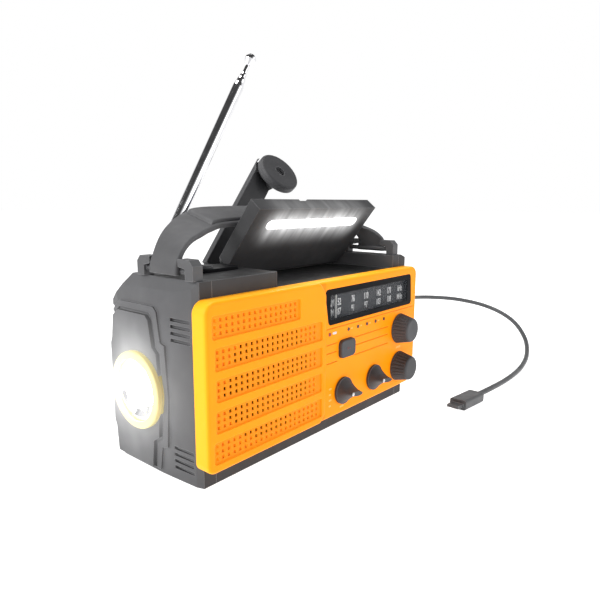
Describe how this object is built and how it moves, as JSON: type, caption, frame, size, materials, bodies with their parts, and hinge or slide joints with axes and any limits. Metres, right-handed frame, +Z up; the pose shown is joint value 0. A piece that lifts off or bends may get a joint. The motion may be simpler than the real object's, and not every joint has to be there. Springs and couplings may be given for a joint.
{
  "type": "emergency radio",
  "caption": "Portable emergency radio with crank generator, tilting solar and lamp panel, end torch, telescopic antenna, carrying strap and output cable.",
  "frame": {"origin": "middle of the base on the ground, under the whole radio without its cable", "axes": "+X along the front from the torch end to the socket end, +Y from the front to the back, +Z up"},
  "size_m": [0.3408, 0.1314, 0.1947],
  "materials": {
    "body_plastic": "matte dark grey ABS",
    "cover_plastic": "semi-gloss orange ABS",
    "knob_rubber": "matte dark grey",
    "strap_rubber": "matte moulded rubber",
    "black_plastic": "gloss black",
    "scale_print": "printed scale, white numerals",
    "clear_plastic": "clear",
    "white_lens": "frosted white",
    "smoked_lens": "dark red light pipes",
    "torch_ring": "cream translucent",
    "reflector": "bright metallised",
    "led": "yellow phosphor",
    "chrome": "polished",
    "steel": "plain",
    "gear_nylon": "natural nylon",
    "board": "green laminate",
    "cell_skin": "shrink sleeve",
    "solar": "dark blue cells under resin",
    "paper_cone": "pressed paper",
    "copper": "enamelled windings",
    "cable_jacket": "satin grey",
    "cord_thread": "waxed thread",
    "pointer": "red"
  },
  "bodies": {
    "chassis": {"aaa_cells": "cell_skin", "antenna_holder": "black_plastic", "battery_door": "body_plastic", "cable": "cable_jacket", "cable_phone_connector": "cable_jacket", "cable_plug_grip": "cable_jacket", "cable_usb_plug": "steel", "carrying_strap": "strap_rubber", "charging_socket": "steel", "cord_guides": "gear_nylon", "dial_bezel": "black_plastic", "dial_cord": "cord_thread", "dial_lens": "clear_plastic", "dial_scale": "scale_print", "earphone_socket": "black_plastic", "front_cover": "cover_plastic", "gearbox_frame": "gear_nylon", "generator_stator": "copper", "hinge_pins": "steel", "lamp_button_bezel": "black_plastic", "lamp_end_cap": "body_plastic", "lithium_cell": "cell_skin", "main_board": "board", "main_housing": "body_plastic", "rotary_controls": "steel", "screws": "steel", "socket_end_cap": "body_plastic", "speaker_cone": "paper_cone", "speaker_frame": "steel", "status_lights": "smoked_lens", "strap_brackets": "body_plastic", "torch_bezel": "torch_ring", "torch_led": "led", "torch_lens": "clear_plastic", "torch_reflector": "reflector", "usb_output_socket": "steel"},
    "crank": {"crank_hub": "body_plastic", "crank_gear": "gear_nylon", "crank_fold_pin": "steel"},
    "crank_arm": {"crank_arm": "body_plastic", "crank_knob_axle": "steel"},
    "crank_knob": {"crank_knob": "body_plastic"},
    "idler": {"idler_gear": "gear_nylon"},
    "generator_rotor": {"generator_rotor": "steel"},
    "panel": {"solar_panel_frame": "body_plastic", "solar_cells": "solar", "panel_lamp_board": "board", "panel_lamp_lens": "white_lens"},
    "antenna_1": {"antenna_tube_1": "chrome"},
    "antenna_2": {"antenna_tube_2": "chrome"},
    "antenna_3": {"antenna_tube_3": "chrome"},
    "antenna_tip": {"antenna_tip_rod": "chrome"},
    "tuning": {"tuning_knob": "knob_rubber", "tuning_shaft": "gear_nylon"},
    "pointer": {"dial_pointer": "pointer"},
    "volume": {"volume_knob": "knob_rubber"},
    "band": {"band_selector": "knob_rubber"},
    "mode": {"mode_selector": "knob_rubber"},
    "power_button": {"power_button": "knob_rubber"},
    "lamp_button": {"lamp_button": "knob_rubber"}
  },
  "joints": [
    {"name": "crank_spin", "type": "hinge", "parent": "chassis", "child": "crank", "pos_m": [-0.0214, 0.02646, 0.0679], "axis": [0, 1, 0], "continuous": true},
    {"name": "crank_fold", "type": "hinge", "parent": "crank", "child": "crank_arm", "pos_m": [-0.01619, 0.03624, 0.07332], "axis": [-0.7208, 0, 0.6931], "range_deg": [0, 80]},
    {"name": "crank_knob_spin", "type": "hinge", "parent": "crank_arm", "child": "crank_knob", "pos_m": [0.0477, 0.03726, 0.1366], "axis": [0, -0.7771, 0.6293], "continuous": true},
    {"name": "idler_spin", "type": "hinge", "parent": "chassis", "child": "idler", "pos_m": [-0.0151, 0.01146, 0.05699], "axis": [0, 1, 0], "continuous": true},
    {"name": "generator_spin", "type": "hinge", "parent": "chassis", "child": "generator_rotor", "pos_m": [-0.00157, 0.00146, 0.05206], "axis": [0, 1, 0], "continuous": true},
    {"name": "panel_hinge", "type": "hinge", "parent": "chassis", "child": "panel", "pos_m": [0.0173, 0.00696, 0.0841], "axis": [1, 0, 0], "range_deg": [0, 51.6]},
    {"name": "antenna_tilt", "type": "hinge", "parent": "chassis", "child": "antenna_1", "pos_m": [-0.0602, 0.02036, 0.0845], "axis": [0, 1, 0], "range_deg": [-31.6, 58.4]},
    {"name": "antenna_slide_2", "type": "slide", "parent": "antenna_1", "child": "antenna_2", "axis": [0.524, 0, 0.8517], "range_m": [0, 0.088]},
    {"name": "antenna_slide_3", "type": "slide", "parent": "antenna_2", "child": "antenna_3", "axis": [0.524, 0, 0.8517], "range_m": [0, 0.086]},
    {"name": "antenna_slide_tip", "type": "slide", "parent": "antenna_3", "child": "antenna_tip", "axis": [0.524, 0, 0.8517], "range_m": [0, 0.084]},
    {"name": "tuning", "type": "hinge", "parent": "chassis", "child": "tuning", "pos_m": [0.0655, -0.04354, 0.0449], "axis": [0, 1, 0], "range_deg": [0, 225]},
    {"name": "pointer_slide", "type": "slide", "parent": "chassis", "child": "pointer", "axis": [1, 0, 0], "range_m": [0, 0.0523]},
    {"name": "volume", "type": "hinge", "parent": "chassis", "child": "volume", "pos_m": [0.0655, -0.04354, 0.0222], "axis": [0, 1, 0], "range_deg": [0, 280]},
    {"name": "band_select", "type": "hinge", "parent": "chassis", "child": "band", "pos_m": [0.0099, -0.04354, 0.0217], "axis": [0, 1, 0], "range_deg": [-30, 30]},
    {"name": "mode_select", "type": "hinge", "parent": "chassis", "child": "mode", "pos_m": [0.0389, -0.04354, 0.0217], "axis": [0, 1, 0], "range_deg": [-30, 60]},
    {"name": "power_press", "type": "slide", "parent": "chassis", "child": "power_button", "axis": [0, 1, 0], "range_m": [0, 0.0012], "stiffness_N_per_m": 400, "springref_m": -0.001},
    {"name": "lamp_press", "type": "slide", "parent": "chassis", "child": "lamp_button", "axis": [0, 0, -1], "range_m": [0, 0.0012], "stiffness_N_per_m": 400, "springref_m": -0.001}
  ],
  "couplings": [
    {"joint": "idler_spin", "follows": "crank_spin", "ratio": -2.5},
    {"joint": "generator_spin", "follows": "crank_spin", "ratio": 7.5},
    {"joint": "pointer_slide", "follows": "tuning", "m_per_rad": 0.0133}
  ]
}
